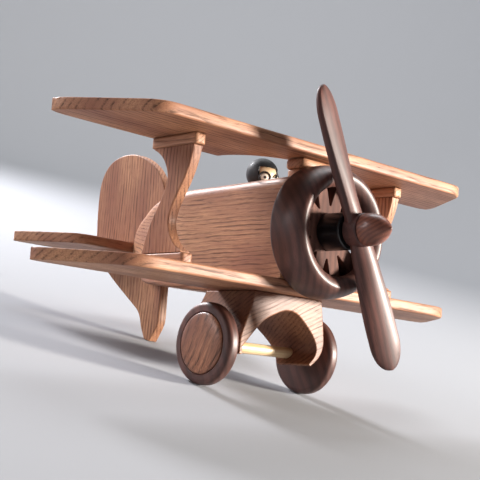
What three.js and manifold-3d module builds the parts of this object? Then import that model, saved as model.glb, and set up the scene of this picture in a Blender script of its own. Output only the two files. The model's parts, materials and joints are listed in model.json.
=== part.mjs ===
// A wooden toy biplane: oak boards, a walnut cowl, propeller and wheels, and a little pilot.
// Millimetres, +Z up, nose towards -Y, starboard wing towards -X.
//
// Every piece is drawn in the level frame: x = 0 is the plane of symmetry, y = 0 is the upper
// wing's leading edge with +y aft, and z = 0 is the upper wing's underside. The finished model is
// then pitched nose-up, so that it stands on its two wheels and its tail skid at z = 0.
import * as THREE from "three";
import { mergeVertices } from "three/addons/utils/BufferGeometryUtils.js";
import Module from "manifold-3d";

// ---------------------------------------------------------------- driving dimensions
const board = 9.5; // wing, strut and fin stock
const ease = 1.2; // softened edge of every board
const gap = 0.3; // left between pieces that are glued face to face
const running = 0.08; // radial clearance of a turning shaft
const beyond = 400; // cutting solids run this far, past every piece

const upperWing = {
  lead: 0, trail: 81, leadHalf: 180, trailHalf: 234, corner: 14, tip: 24, under: 0,
};
const lowerWing = {
  lead: 12, trail: 82, leadHalf: 181, trailHalf: 238, corner: 18, tip: 22, under: -112.2,
};
const wingCutout = { y: 88, radius: 53 };

const tailplane = {
  lead: 243, trail: 307, leadHalf: 70, trailHalf: 106, corner: 14, tip: 12, under: -69.8,
};

const hull = {
  front: 12, rear: 242.7, halfWidth: 37, tailHalfWidth: 7, taperFrom: 130,
  top: -18.3, crestSlope: 0.022, crestEnd: 150, crestPower: 2.3, tailTop: -61,
  bottom: -112.2, bellyFlatEnd: 104, bellySlope: 0.1, tuckFrom: 195, tuckRise: 26,
  shoulder: 9, tailShoulder: 16, keel: 3,
};

const thrustLine = -60.9; // height of the propeller shaft
const cowl = {
  rear: 11.7, front: -20.5, outer: 54.6, lip: 45.5, mouth: 36.3, bore: 45.5, swell: 1,
  rearRound: 3.5, mouthRound: 10, mouthDepth: 16,
};
const engine = { front: -3, rear: 11.7, radius: 45.2, core: 14, cylinders: 10, width: 12.4, bevel: 0.8 };
const crankcase = { front: -27, radius: 15.4 };
const shaft = { radius: 3.2, front: -56, rear: 7, clearHole: 3.7 };
const collar = { radius: 7, front: 2.6, rear: 6.6, pocket: 8, pocketFront: 2 };
const thrustWasher = { front: -28.4, thickness: 1.1, radius: 8 };
const hub = { front: -43, rear: -28.7, radius: 13.5 };
const blade = {
  tip: 119, plane: -34.5, pitch: 13, lean: 26.3, fullPitchFrom: 30, roundFrom: 0.8,
  rootChord: 20, chord: 29, chordAt: 0.72, rootThickness: 11, tipThickness: 7,
  // Upper blade's section as shares of half chord and half thickness: flat behind, crowned in
  // front, thin on the port side and cut off square on the starboard side.
  section: [
    [1, 0.5], [0.9, 0.85], [0.5, 1], [0, 1], [-0.5, 1], [-0.95, 0.85],
    [-1, 0.25], [-0.9, -0.5], [-0.5, -0.88], [0, -1], [0.5, -0.7], [0.88, -0.1],
  ],
};
const spinner = { base: -43.3, tip: -69, radius: 13.2, fullness: 2.8 };

const strut = { inner: 115, top: -9.4, foot: -93.2, centreY: 54.5, edge: 0.4 };
const pad = {
  halfWidth: 5.9, height: 8.8, topFront: 25.5, topRear: 79.5, footFront: 30, footRear: 81.5,
  corner: 4, edge: 1.5,
};
const cabane = {
  halfWidth: 20, front: 12.4, rear: 35.6, corner: 9, edge: 2, neckTop: -9.4, neckIn: 1.4, neckSideIn: 1.6,
};

const axle = { y: 68.3, z: -158, radius: 4.75, halfLength: 62 };
const wheel = {
  radius: 33.8, inner: 52.7, outer: 64.9, recess: 57.9, insert: 24.9, edge: 4.5,
  discEdge: 0.4, discDome: 3.5,
};
// Sawn by hand, so the legs don't match: the starboard one is thin at the foot, and the port one
// curls inwards. Curves are points [x, z], and heel is a curve [y, z] that trims the rear.
const gear = {
  front: 36.5, rear: 100, top: -112.5, topHalf: 40, edge: 0.4,
  starboardEdge: [[-40, -112.5], [-42.8, -126], [-47.3, -138.6], [-51, -147.9], [-52, -154]],
  starboardToe: [[-52, -165, 1.5], [-48.6, -165, 1.5], [-48.4, -158.5, 1]],
  arch: [
    [-45.5, -155.5], [-34.3, -143.3], [-24.6, -134.8], [-10.3, -128], [0.4, -125.3],
    [11.8, -127.2], [24, -136.1], [32.9, -144.6], [37.3, -153.7], [35.2, -161], [29.5, -167],
  ],
  portEdge: [
    [31.5, -168.6], [39, -163.6], [44.2, -157.4], [46.3, -150], [46, -143.4], [43.3, -126.3],
  ],
  heel: [[94, -112], [99, -124], [99.5, -137], [92, -150], [82, -161], [71, -170]],
};

const skidFoot = { y: 214, z: -153, halfLength: 4.2 };
const finSlotFront = 198.5; // where the fin and skid board enters the fuselage

const pilot = {
  y: 80, headZ: -6, head: 12.2, chin: -17, nose: 2.2, noseDrop: 6.5,
  torso: 16.4, torsoTop: -20.4, shoulder: -30, shoulderRound: 8, neck: 6.3, floor: -50, hole: 17,
};
const helmet = { radius: 14, lining: 12.8, faceDepth: 7.2, brow: 4.5, jaw: 10 };
const goggles = {
  lens: 3.5, bore: 3.8, rim: 5.5, splay: 34, reach: 13.1, drop: 5,
  bridgeHalf: 4, bridgeFront: 14.5, bridgeRear: 13.2, bridgeHeight: 2.4,
};

// Nose-up angle of the line that touches both wheels and the skid foot.
const skidReach = new THREE.Vector2(skidFoot.y - axle.y, skidFoot.z - axle.z);
const stance = Math.atan2(skidReach.y, skidReach.x) + Math.asin(wheel.radius / skidReach.length());

// ---------------------------------------------------------------- materials
function finish(color, roughness) {
  return () => new THREE.MeshStandardMaterial({ color, roughness, metalness: 0 });
}
const oak = finish("#b98258", 0.45);
const walnut = finish("#4a2c22", 0.3);
const cherry = finish("#7c3b28", 0.35);
const birch = finish("#d9b183", 0.5);
const blackPaint = finish("#17161a", 0.45);
const skinTone = finish("#e3c9a6", 0.5);
const whitePaint = finish("#e9e6dc", 0.4);
const steel = () => new THREE.MeshStandardMaterial({ color: "#9a9a9c", roughness: 0.4, metalness: 1 });

// ---------------------------------------------------------------- solids
const wasm = await Module();
wasm.setup();

function toSolid(geometry) {
  const bare = new THREE.BufferGeometry();
  bare.setAttribute("position", (geometry.index ? geometry.toNonIndexed() : geometry).attributes.position);
  const merged = mergeVertices(bare, 1e-4);
  const triVerts = new Uint32Array(merged.index.array);
  return new wasm.Manifold(
    new wasm.Mesh({ numProp: 3, vertProperties: merged.attributes.position.array, triVerts }),
  );
}

function toGeometry(solid) {
  const mesh = solid.getMesh();
  const geometry = new THREE.BufferGeometry();
  geometry.setAttribute("position", new THREE.BufferAttribute(mesh.vertProperties, 3));
  geometry.setIndex(new THREE.BufferAttribute(mesh.triVerts, 1));
  geometry.computeVertexNormals();
  return geometry;
}

function cut(geometry, ...tools) {
  return toGeometry(tools.reduce((solid, tool) => solid.subtract(toSolid(tool)), toSolid(geometry)));
}

function join(geometry, ...others) {
  return toGeometry(others.reduce((solid, other) => solid.add(toSolid(other)), toSolid(geometry)));
}

// Turns every triangle round when the surface encloses a negative volume.
function facingOut(source) {
  const geometry = source.index ? source : mergeVertices(source);
  const at = geometry.attributes.position;
  const index = geometry.index.array;
  const [a, b, c] = [new THREE.Vector3(), new THREE.Vector3(), new THREE.Vector3()];
  let volume = 0;
  for (let i = 0; i < index.length; i += 3) {
    a.fromBufferAttribute(at, index[i]);
    b.fromBufferAttribute(at, index[i + 1]);
    c.fromBufferAttribute(at, index[i + 2]);
    volume += a.dot(b.cross(c));
  }
  if (volume < 0) index.reverse();
  return geometry;
}

function arc(cx, cy, rx, ry, fromDegrees, toDegrees, steps) {
  return Array.from({ length: steps + 1 }, (_, i) => {
    const angle = THREE.MathUtils.degToRad(fromDegrees + ((toDegrees - fromDegrees) * i) / steps);
    return [cx + rx * Math.cos(angle), cy + ry * Math.sin(angle)];
  });
}

// Closed outline through the corners [u, v, radius].
function outline(corners) {
  const shape = new THREE.Shape();
  corners.forEach(([u, v, radius = 0], i) => {
    const corner = new THREE.Vector2(u, v);
    const towards = (step) => {
      const [nu, nv] = corners[(i + step + corners.length) % corners.length];
      return new THREE.Vector2(nu, nv).sub(corner).setLength(radius).add(corner);
    };
    const start = radius ? towards(-1) : corner;
    if (i) shape.lineTo(start.x, start.y);
    else shape.moveTo(start.x, start.y);
    if (radius) shape.quadraticCurveTo(u, v, towards(1).x, towards(1).y);
  });
  shape.closePath();
  return shape;
}

function smooth(points, steps) {
  return new THREE.SplineCurve(points.map(([u, v]) => new THREE.Vector2(u, v)))
    .getPoints(steps)
    .map(({ x, y }) => [x, y]);
}

function slab(shape, thickness, edge) {
  const geometry = new THREE.ExtrudeGeometry(shape, {
    depth: thickness - 2 * edge,
    bevelEnabled: edge > 0,
    bevelThickness: edge,
    bevelSize: edge,
    bevelOffset: -edge,
    bevelSegments: 1,
    curveSegments: 4,
  });
  return geometry.translate(0, 0, edge);
}

// A plan outline (x, y), standing on z = bottom.
function planSlab(shape, bottom, thickness, edge = ease) {
  return slab(shape, thickness, edge).translate(0, 0, bottom);
}

// A side outline (y, z), from x = inner outwards.
function sideSlab(shape, inner, thickness, edge = ease) {
  const turn = new THREE.Matrix4().set(0, 0, 1, 0, 1, 0, 0, 0, 0, 1, 0, 0, 0, 0, 0, 1);
  return slab(shape, thickness, edge).applyMatrix4(turn).translate(inner, 0, 0);
}

// A front outline (x, z), from y = front aft.
function frontSlab(shape, front, thickness, edge = ease) {
  return slab(shape, thickness, edge).rotateX(Math.PI / 2).translate(0, front + thickness, 0);
}

function box(x, y, z) {
  const size = [x, y, z].map(([low, high]) => high - low);
  const centre = [x, y, z].map(([low, high]) => (low + high) / 2);
  return new THREE.BoxGeometry(...size).translate(...centre);
}

// A closed profile of [radius, position] turned about the Y axis through z = height.
function turnedAlongY(profile, height, segments) {
  const points = profile.map(([radius, y]) => new THREE.Vector2(radius, y));
  return facingOut(new THREE.LatheGeometry(points, segments)).translate(0, 0, height);
}

function turnedAlongX(profile, y, z, segments) {
  return turnedAlongY(profile, 0, segments).rotateZ(-Math.PI / 2).translate(0, y, z);
}

function turnedAlongZ(profile, x, y, segments) {
  return turnedAlongY(profile, 0, segments).rotateX(Math.PI / 2).translate(x, y, 0);
}

function rod(radius, from, to) {
  return [[0, from], [radius, from], [radius, to], [0, to]];
}

// A skin over rings of points that all have the same count, closed by a fan at each end.
function loft(rings) {
  const count = rings[0].length;
  const centres = [rings[0], rings[rings.length - 1]].map((ring) =>
    ring.reduce((sum, point) => sum.add(point), new THREE.Vector3()).divideScalar(count),
  );
  const geometry = new THREE.BufferGeometry().setFromPoints([...rings.flat(), ...centres]);
  const first = rings.length * count;
  const last = (rings.length - 1) * count;
  const index = [];
  for (let i = 0; i < count; i++) {
    const next = (i + 1) % count;
    index.push(first, next, i, first + 1, last + i, last + next);
    for (let ring = 0; ring < last; ring += count) {
      index.push(ring + i, ring + next, ring + count + next);
      index.push(ring + i, ring + count + next, ring + count + i);
    }
  }
  geometry.setIndex(index);
  return facingOut(geometry);
}

// ---------------------------------------------------------------- wings and tailplane
function rakedPlan({ lead, trail, leadHalf, trailHalf, corner, tip }, trailingEdge = []) {
  return outline([
    [-leadHalf, lead, corner],
    [leadHalf, lead, corner],
    [trailHalf, trail, tip],
    ...trailingEdge,
    [-trailHalf, trail, tip],
  ]);
}

function upperWingBoard() {
  const { y, radius } = wingCutout;
  const start = THREE.MathUtils.radToDeg(Math.asin((upperWing.trail - y) / radius));
  const scoop = arc(0, y, radius, radius, start, -180 - start, 16);
  return planSlab(rakedPlan(upperWing, scoop), upperWing.under, board);
}

function lowerWingBoard() {
  return planSlab(rakedPlan(lowerWing), lowerWing.under, board);
}

function tailplaneBoard() {
  return planSlab(rakedPlan(tailplane), tailplane.under, board);
}

// ---------------------------------------------------------------- fuselage
function hullSection(y) {
  const taper = THREE.MathUtils.clamp((y - hull.taperFrom) / (hull.rear - hull.taperFrom), 0, 1);
  const half = hull.tailHalfWidth
    + (hull.halfWidth - hull.tailHalfWidth) * Math.cos((taper * Math.PI) / 2);
  const crest = hull.top - hull.crestSlope * (Math.min(y, hull.crestEnd) - hull.front);
  const drop = THREE.MathUtils.clamp((y - hull.crestEnd) / (hull.rear - hull.crestEnd), 0, 1);
  const fullness = (1 - drop ** hull.crestPower) ** (1 / hull.crestPower);
  const top = hull.tailTop + (crest - hull.tailTop) * fullness;
  const tuck = Math.max(0, (y - hull.tuckFrom) / (hull.rear - hull.tuckFrom));
  const rise = Math.max(0, y - hull.bellyFlatEnd) * hull.bellySlope;
  const bottom = hull.bottom + rise + hull.tuckRise * tuck * tuck;
  const rounding = THREE.MathUtils.lerp(hull.shoulder, hull.tailShoulder, taper);
  const shoulder = Math.min(rounding, 0.9 * half, 0.6 * (top - bottom));
  const right = [
    ...arc(half - hull.keel, bottom + hull.keel, hull.keel, hull.keel, -90, 0, 2),
    ...arc(half - shoulder, top - shoulder, shoulder, shoulder, 0, 90, 6),
  ];
  const left = right.map(([x, z]) => [-x, z]).reverse();
  return [...right, ...left].map(([x, z]) => new THREE.Vector3(x, y, z));
}

function fuselageBlock() {
  const tailStations = 11;
  const stations = [hull.front, hull.bellyFlatEnd];
  for (let i = 1; i <= tailStations; i++) {
    const along = Math.sin(((i / tailStations) * Math.PI) / 2);
    stations.push(hull.bellyFlatEnd + (hull.rear - hull.bellyFlatEnd) * along);
  }
  const block = loft(stations.map(hullSection));
  const wingTop = lowerWing.under + board + gap;
  const wingNotch = box([-beyond, beyond], [-beyond, lowerWing.trail + gap], [-beyond, wingTop]);
  const kerfHalf = board / 2 + gap;
  const finKerf = box([-kerfHalf, kerfHalf], [finSlotFront - gap, beyond], [-beyond, beyond]);
  const cockpit = turnedAlongZ(rod(pilot.hole, pilot.floor, beyond), 0, pilot.y, 28);
  return cut(block, wingNotch, finKerf, cockpit);
}

// ---------------------------------------------------------------- nose
function cowlRing() {
  const { rear, front, outer, lip, mouth, bore, swell, rearRound, mouthRound, mouthDepth } = cowl;
  const profile = [
    [bore, rear],
    ...arc(outer - rearRound, rear - rearRound, rearRound, rearRound, 90, 0, 2),
    ...arc(lip, swell, outer - lip, swell - front, 0, -90, 6),
    ...arc(lip, front + mouthRound, lip - mouth, mouthRound, -108, -180, 4),
    [bore, front + mouthDepth],
  ];
  return turnedAlongY([...profile, profile[0]], thrustLine, 40);
}

// A disc kerfed into parallel-sided blocks round a core, with a kerf at the top and the bottom.
function engineCylinders() {
  const pitch = (2 * Math.PI) / engine.cylinders;
  const halfAngle = Math.asin(engine.width / 2 / engine.radius);
  const root = engine.width / 2 / Math.tan(pitch / 2);
  const points = [];
  for (let i = 0; i < engine.cylinders; i++) {
    const centre = Math.PI / 2 + (i + 0.5) * pitch;
    for (const turn of [-halfAngle, 0, halfAngle]) {
      points.push([engine.radius * Math.cos(centre + turn), engine.radius * Math.sin(centre + turn)]);
    }
    const valley = centre + pitch / 2;
    const depth = Math.max(root / Math.cos(pitch / 2), engine.core);
    points.push([depth * Math.cos(valley), depth * Math.sin(valley)]);
  }
  const star = frontSlab(outline(points), engine.front, engine.rear - engine.front, engine.bevel);
  const shaftHole = turnedAlongY(rod(shaft.clearHole, -beyond, beyond), 0, 20);
  const pocket = turnedAlongY(rod(collar.pocket, collar.pocketFront, beyond), 0, 24);
  return cut(star, shaftHole, pocket).translate(0, 0, thrustLine);
}

function crankcaseBlock() {
  const bore = shaft.radius + running;
  const rear = engine.front - gap;
  const profile = [
    [bore, crankcase.front],
    [crankcase.radius - 1, crankcase.front],
    [crankcase.radius, crankcase.front + 1],
    [crankcase.radius, rear],
    [bore, rear],
  ];
  return turnedAlongY([...profile, profile[0]], thrustLine, 36);
}

function washerRing(inner, { front, thickness, radius }) {
  const rear = front + thickness;
  const profile = [[inner, front], [radius, front], [radius, rear], [inner, rear], [inner, front]];
  return turnedAlongY(profile, thrustLine, 28);
}

// ---------------------------------------------------------------- propeller
// Chord and thickness of the blade at a distance from the shaft. Both draw in to a round tip.
function bladeSize(radius) {
  const along = radius / blade.tip;
  const intoTip = Math.max(0, (along - blade.roundFrom) / (1 - blade.roundFrom));
  const roundTip = Math.sqrt(Math.max(0, 1 - intoTip ** 2));
  const swell = Math.sin(Math.min(along / blade.chordAt, 1) * (Math.PI / 2)) ** 2;
  const chord = THREE.MathUtils.lerp(blade.rootChord, blade.chord, swell) * roundTip;
  const stock = THREE.MathUtils.lerp(blade.rootThickness, blade.tipThickness, along);
  const thickness = stock * THREE.MathUtils.lerp(0.25, 1, roundTip);
  return { chord: Math.max(chord, 2.4), thickness: Math.max(thickness, 1.8) };
}

// Blade section, from -1 at full lower pitch through a plain ellipse at the shaft to 1.
function bladeSection(turn) {
  const count = blade.section.length;
  return blade.section.map((upper, i) => {
    const angle = (i / count) * 2 * Math.PI;
    const partner = blade.section[(count * 1.5 - i) % count];
    const [across, deep] = turn > 0 ? upper : [-partner[0], partner[1]];
    const share = Math.abs(turn);
    return [
      THREE.MathUtils.lerp(Math.cos(angle), across, share),
      THREE.MathUtils.lerp(Math.sin(angle), deep, share),
    ];
  });
}

// Blade sections run from tip to tip along z, and the pitch changes sign at the hub.
function propellerBlades() {
  const stations = [];
  for (let i = -12; i <= 12; i++) stations.push(blade.tip * Math.sin((i / 12) * (Math.PI / 2)));
  const rings = stations.map((height) => {
    const { chord, thickness } = bladeSize(Math.abs(height));
    const turn = THREE.MathUtils.clamp(height / blade.fullPitchFrom, -1, 1);
    const pitch = THREE.MathUtils.degToRad(blade.pitch) * turn;
    return bladeSection(turn).map(([chordShare, depthShare]) => {
      const across = (chord / 2) * chordShare;
      const deep = (thickness / 2) * depthShare;
      return new THREE.Vector3(
        across * Math.cos(pitch) - deep * Math.sin(pitch),
        across * Math.sin(pitch) + deep * Math.cos(pitch),
        height,
      );
    });
  });
  const lean = THREE.MathUtils.degToRad(-blade.lean);
  const blades = loft(rings).rotateY(lean).translate(0, blade.plane, thrustLine);
  const boss = turnedAlongY(rod(hub.radius, hub.front, hub.rear), thrustLine, 32);
  const bore = turnedAlongY(rod(shaft.radius + running, -beyond, beyond), thrustLine, 24);
  return cut(join(blades, boss), bore);
}

function spinnerCone() {
  const length = spinner.base - spinner.tip;
  const nose = Array.from({ length: 8 }, (_, i) => {
    const along = i / 7;
    return [spinner.radius * (1 - along ** spinner.fullness), spinner.base - length * along];
  });
  const bore = shaft.radius + running;
  const socket = shaft.front - gap;
  const profile = [[0, socket], [bore, socket], [bore, spinner.base], ...nose];
  return turnedAlongY(profile, thrustLine, 32);
}

// ---------------------------------------------------------------- struts
// The rear edge is a free curve, and the front edge is the same curve turned half round.
function strutBoard() {
  const half = [
    [77, strut.top], [66, -16.5], [59, -27], [57.5, -37], [62.5, -50], [72, -66], [78, -80],
    [81, strut.foot],
  ];
  const rear = smooth(half, 16);
  const front = rear.map(([y, z]) => [2 * strut.centreY - y, strut.top + strut.foot - z]);
  return sideSlab(outline([...rear, ...front]), strut.inner, board, strut.edge);
}

function roundedPlan(middle, halfWidth, front, rear, corner) {
  return outline([
    [middle - halfWidth, front, corner],
    [middle + halfWidth, front, corner],
    [middle + halfWidth, rear, corner],
    [middle - halfWidth, rear, corner],
  ]);
}

function strutPad(front, rear, bottom) {
  const middle = strut.inner + board / 2;
  const { halfWidth, height, corner, edge } = pad;
  return planSlab(roundedPlan(middle, halfWidth, front, rear, corner), bottom, height, edge);
}

function cabanePad() {
  const { halfWidth, front, rear, corner, edge, neckTop } = cabane;
  const bottom = neckTop + gap;
  const shape = roundedPlan(0, halfWidth, front, rear, corner);
  return planSlab(shape, bottom, upperWing.under - gap - bottom, edge);
}

function cabaneNeck() {
  const { halfWidth, front, rear, corner, neckTop, neckIn, neckSideIn } = cabane;
  const half = halfWidth - neckSideIn;
  const shape = roundedPlan(0, half, front + neckIn, rear - neckIn, corner - neckIn);
  const bottom = hull.top + gap;
  return planSlab(shape, bottom, neckTop - bottom, strut.edge);
}

// ---------------------------------------------------------------- landing gear
function landingGear() {
  const shape = outline([
    [gear.topHalf, gear.top],
    ...smooth(gear.starboardEdge, 8),
    ...gear.starboardToe,
    ...smooth(gear.arch, 24),
    ...smooth(gear.portEdge, 12),
  ]);
  const block = frontSlab(shape, gear.front, gear.rear - gear.front, gear.edge);
  const behindHeel = outline([...smooth(gear.heel, 12), [beyond, -beyond], [beyond, gear.top]]);
  const trim = sideSlab(behindHeel, -beyond, 2 * beyond, 0);
  const bore = turnedAlongX(rod(axle.radius + running, -beyond, beyond), axle.y, axle.z, 28);
  return cut(block, trim, bore);
}

function axleDowel() {
  return turnedAlongX(rod(axle.radius, -axle.halfLength, axle.halfLength), axle.y, axle.z, 28);
}

// The walnut wheel is a cup, open outwards, and the oak disc is let into it.
function wheelBody(side) {
  const { radius, inner, outer, recess, insert, edge } = wheel;
  const bore = axle.radius + running;
  const pocket = insert + gap;
  const profile = [
    [bore, inner],
    ...arc(radius - edge, inner + edge, edge, edge, -90, 0, 3),
    ...arc(radius - edge, outer - edge, edge, edge, 0, 90, 3),
    [pocket, outer],
    [pocket, recess],
    [bore, recess],
  ].map(([r, x]) => [r, side * x]);
  return turnedAlongX([...profile, profile[0]], axle.y, axle.z, 36);
}

function wheelDisc(side) {
  const { outer, recess, insert, discEdge, discDome } = wheel;
  const bore = axle.radius + running;
  const socket = axle.halfLength + gap;
  const profile = [
    [0, socket],
    [bore, socket],
    [bore, recess + gap],
    [insert, recess + gap],
    ...arc(0, outer - discEdge, insert, discEdge + discDome, 0, 90, 5),
  ].map(([r, x]) => [r, side * x]);
  return turnedAlongX(profile, axle.y, axle.z, 36);
}

// ---------------------------------------------------------------- fin and tail skid
function finBoard() {
  const ground = new THREE.Vector2(Math.cos(stance), Math.sin(stance));
  const foot = (along) => [skidFoot.y + along * ground.x, skidFoot.z + along * ground.y];
  const crown = [
    [204.5, -26], [207, -8], [223, 12.5], [247, 25.5], [271, 28.5], [294, 22], [307, 4],
    [309, -25], [306, -58],
  ];
  const heel = [[297, -77], [273, -96], [246, -115], [230, -127], [224, -141]];
  const shape = outline([
    [finSlotFront, -60, 4],
    ...smooth(crown, 26),
    ...smooth(heel, 12),
    [...foot(skidFoot.halfLength), 1.2],
    [...foot(-skidFoot.halfLength), 1.2],
    [finSlotFront, -138, 6],
  ].reverse());
  const slot = box(
    [-beyond, beyond],
    [tailplane.lead - gap, beyond],
    [tailplane.under - gap, tailplane.under + board + gap],
  );
  return cut(sideSlab(shape, -board / 2, board, 1), slot);
}

// ---------------------------------------------------------------- pilot
function ball(radius, z, widthSegments = 18, heightSegments = 11) {
  return new THREE.SphereGeometry(radius, widthSegments, heightSegments)
    .rotateX(Math.PI / 2)
    .translate(0, pilot.y, z);
}

function pilotTorso() {
  const { torso, torsoTop, shoulder, shoulderRound, neck, floor } = pilot;
  const profile = [
    [0, floor + gap],
    [torso, floor + gap],
    [torso, shoulder],
    ...arc(torso - shoulderRound, shoulder, shoulderRound, shoulderRound + 1, 30, 90, 4),
    [neck, torsoTop],
    [0, torsoTop],
  ];
  return turnedAlongZ(profile, 0, pilot.y, 28);
}

function pilotHead() {
  const faceOut = Math.sqrt(pilot.head ** 2 - pilot.noseDrop ** 2);
  const nose = ball(pilot.nose, pilot.headZ - pilot.noseDrop, 12, 8).translate(0, -faceOut, 0);
  const belowChin = box([-beyond, beyond], [-beyond, beyond], [-beyond, pilot.chin]);
  return cut(join(ball(pilot.head, pilot.headZ), nose), belowChin);
}

// A cap over the crown, the back and the ears, open in front of the face.
function pilotHelmet() {
  const { y, headZ } = pilot;
  const shell = ball(helmet.radius, headZ);
  const hollow = ball(helmet.lining, headZ, 16, 10);
  const across = [-beyond, beyond];
  const faceOpening = box(across, [-beyond, y - helmet.faceDepth], [-beyond, headZ + helmet.brow]);
  const neckOpening = box(across, [-beyond, beyond], [-beyond, headZ - helmet.jaw]);
  return cut(shell, hollow, faceOpening, neckOpening);
}

// Turns a small ring or lens drawn about Z to look outwards in front of one eye.
function beforeEye(profile, side) {
  const turn = THREE.MathUtils.degToRad(side * goggles.splay);
  const out = new THREE.Vector3(0, -goggles.reach, 0).applyAxisAngle(new THREE.Vector3(0, 0, 1), turn);
  return turnedAlongZ(profile, 0, 0, 16)
    .rotateX(Math.PI / 2)
    .rotateZ(turn)
    .translate(out.x, pilot.y + out.y, pilot.headZ - goggles.drop);
}

function goggleLens(side) {
  const { lens } = goggles;
  return beforeEye([[0, -0.7], [lens, -0.7], [lens, 0.6], ...arc(0, 0.6, lens - 0.4, 1.1, 0, 90, 4)], side);
}

function gogglesFrame() {
  const { bore, rim, bridgeHalf, bridgeFront, bridgeRear, bridgeHeight, drop } = goggles;
  const profile = [[bore, -0.6], [rim, -0.6], [rim, 1.2], [bore, 1.2], [bore, -0.6]];
  const middle = pilot.headZ - drop;
  const bridge = box(
    [-bridgeHalf, bridgeHalf],
    [pilot.y - bridgeFront, pilot.y - bridgeRear],
    [middle - bridgeHeight / 2, middle + bridgeHeight / 2],
  );
  return join(beforeEye(profile, -1), beforeEye(profile, 1), bridge);
}

// ---------------------------------------------------------------- assembly
const model = new THREE.Group();

function add(name, geometry, material) {
  const mesh = new THREE.Mesh(geometry, material());
  mesh.name = name;
  model.add(mesh);
  return mesh;
}

add("upper_wing", upperWingBoard(), oak);
add("lower_wing", lowerWingBoard(), oak);
add("fuselage", fuselageBlock(), oak);
add("cabane_pad", cabanePad(), oak);
add("cabane_neck", cabaneNeck(), oak);

add("cowl_ring", cowlRing(), walnut);
add("engine_cylinders", engineCylinders(), walnut);
add("crankcase", crankcaseBlock(), blackPaint);
add("thrust_washer", washerRing(shaft.radius + gap, thrustWasher), steel);
add("propeller", propellerBlades(), walnut);
add("spinner", spinnerCone(), cherry);
add(
  "propeller_shaft",
  turnedAlongY(rod(shaft.radius, shaft.front, shaft.rear), thrustLine, 24),
  birch,
);
add(
  "shaft_collar",
  washerRing(shaft.radius + running, { ...collar, thickness: collar.rear - collar.front }),
  birch,
);

for (const [side, name] of [[-1, "starboard"], [1, "port"]]) {
  const mirrored = (geometry) => (side > 0 ? geometry : facingOut(geometry.scale(-1, 1, 1)));
  const padTop = lowerWing.under + board + gap;
  add("strut_" + name, mirrored(strutBoard()), oak);
  add("upper_pad_" + name, mirrored(strutPad(pad.topFront, pad.topRear, -gap - pad.height)), oak);
  add("lower_pad_" + name, mirrored(strutPad(pad.footFront, pad.footRear, padTop)), oak);
  add("wheel_" + name, wheelBody(side), walnut);
  add("wheel_disc_" + name, wheelDisc(side), oak);
}
add("landing_gear", landingGear(), oak);
add("axle", axleDowel(), birch);

add("fin_skid", finBoard(), oak);
add("tailplane", tailplaneBoard(), oak);

add("pilot_torso", pilotTorso(), oak);
add("pilot_head", pilotHead(), skinTone);
add("pilot_helmet", pilotHelmet(), blackPaint);
for (const [side, name] of [[-1, "starboard"], [1, "port"]]) {
  add("goggle_lens_" + name, goggleLens(side), whitePaint);
}
add("goggles_frame", gogglesFrame(), blackPaint);

// Pitch the model onto its wheels and skid, and centre it over the origin.
const biplane = new THREE.Group();
biplane.name = "biplane";
model.rotation.x = -stance;
biplane.add(model);
biplane.updateMatrixWorld(true);
const extent = new THREE.Box3().setFromObject(biplane, true);
model.position.set(0, -(extent.min.y + extent.max.y) / 2, -extent.min.z);

export default biplane;
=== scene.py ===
import json
import math

import bmesh
import bpy
from mathutils import Matrix, Vector


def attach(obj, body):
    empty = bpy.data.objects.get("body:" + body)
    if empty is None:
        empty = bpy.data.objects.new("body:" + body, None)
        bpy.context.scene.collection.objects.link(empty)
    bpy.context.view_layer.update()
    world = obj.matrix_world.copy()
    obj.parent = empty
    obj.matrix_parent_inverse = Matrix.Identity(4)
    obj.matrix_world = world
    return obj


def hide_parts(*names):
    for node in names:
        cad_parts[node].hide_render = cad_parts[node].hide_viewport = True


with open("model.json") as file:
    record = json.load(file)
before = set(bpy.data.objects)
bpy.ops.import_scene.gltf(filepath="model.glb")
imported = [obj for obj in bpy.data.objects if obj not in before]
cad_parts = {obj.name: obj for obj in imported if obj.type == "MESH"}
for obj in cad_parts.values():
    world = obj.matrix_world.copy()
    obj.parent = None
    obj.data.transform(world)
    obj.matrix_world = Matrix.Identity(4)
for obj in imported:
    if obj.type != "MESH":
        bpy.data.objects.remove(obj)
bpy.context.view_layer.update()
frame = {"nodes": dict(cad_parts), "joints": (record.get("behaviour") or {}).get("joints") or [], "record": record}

# ---------------------------------------------------------------- the level frame
# Pieces are made level and in millimetres, as the part is drawn: x = 0 is the plane of symmetry,
# y = 0 the upper wing's leading edge with +y aft, z = 0 the upper wing's underside. The frame's
# propeller joint says how far the standing model is pitched up, and where that level frame lies.
BOARD = 9.5
GAP = 0.3
RUNNING = 0.08
BEYOND = 90.0  # how far a cutter reaches past what it cuts
HUB = Vector((0, -34.5, -60.9))
THRUST = HUB.z
JOINTS = {joint["name"]: joint for joint in frame["joints"]}
SPIN = Vector(JOINTS["propeller_spin"]["axis"]).normalized()
PITCH = Matrix(((1, 0, 0), (0, -SPIN.y, SPIN.z), (0, -SPIN.z, -SPIN.y)))
HUB_ROW = Vector(JOINTS["propeller_spin"]["pos_m"])
TO_ROW = Matrix.Translation(HUB_ROW - 0.001 * (PITCH @ HUB)) @ (PITCH * 0.001).to_4x4()
TO_LEVEL = TO_ROW.inverted()
AXLE = TO_LEVEL @ Vector(JOINTS["wheelset_roll"]["pos_m"])
BODY_OF = {
    node: body
    for body, nodes in frame["record"]["behaviour"]["bodies"].items()
    for node in nodes
}


def level_box(node):
    points = [TO_LEVEL @ v.co for v in frame["nodes"][node].data.vertices]
    low = Vector([min(p[i] for p in points) for i in range(3)])
    high = Vector([max(p[i] for p in points) for i in range(3)])
    return low, high


# ---------------------------------------------------------------- outlines
PLANES = {"x": (1, 2, 0), "y": (0, 2, 1), "z": (0, 1, 2)}


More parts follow.
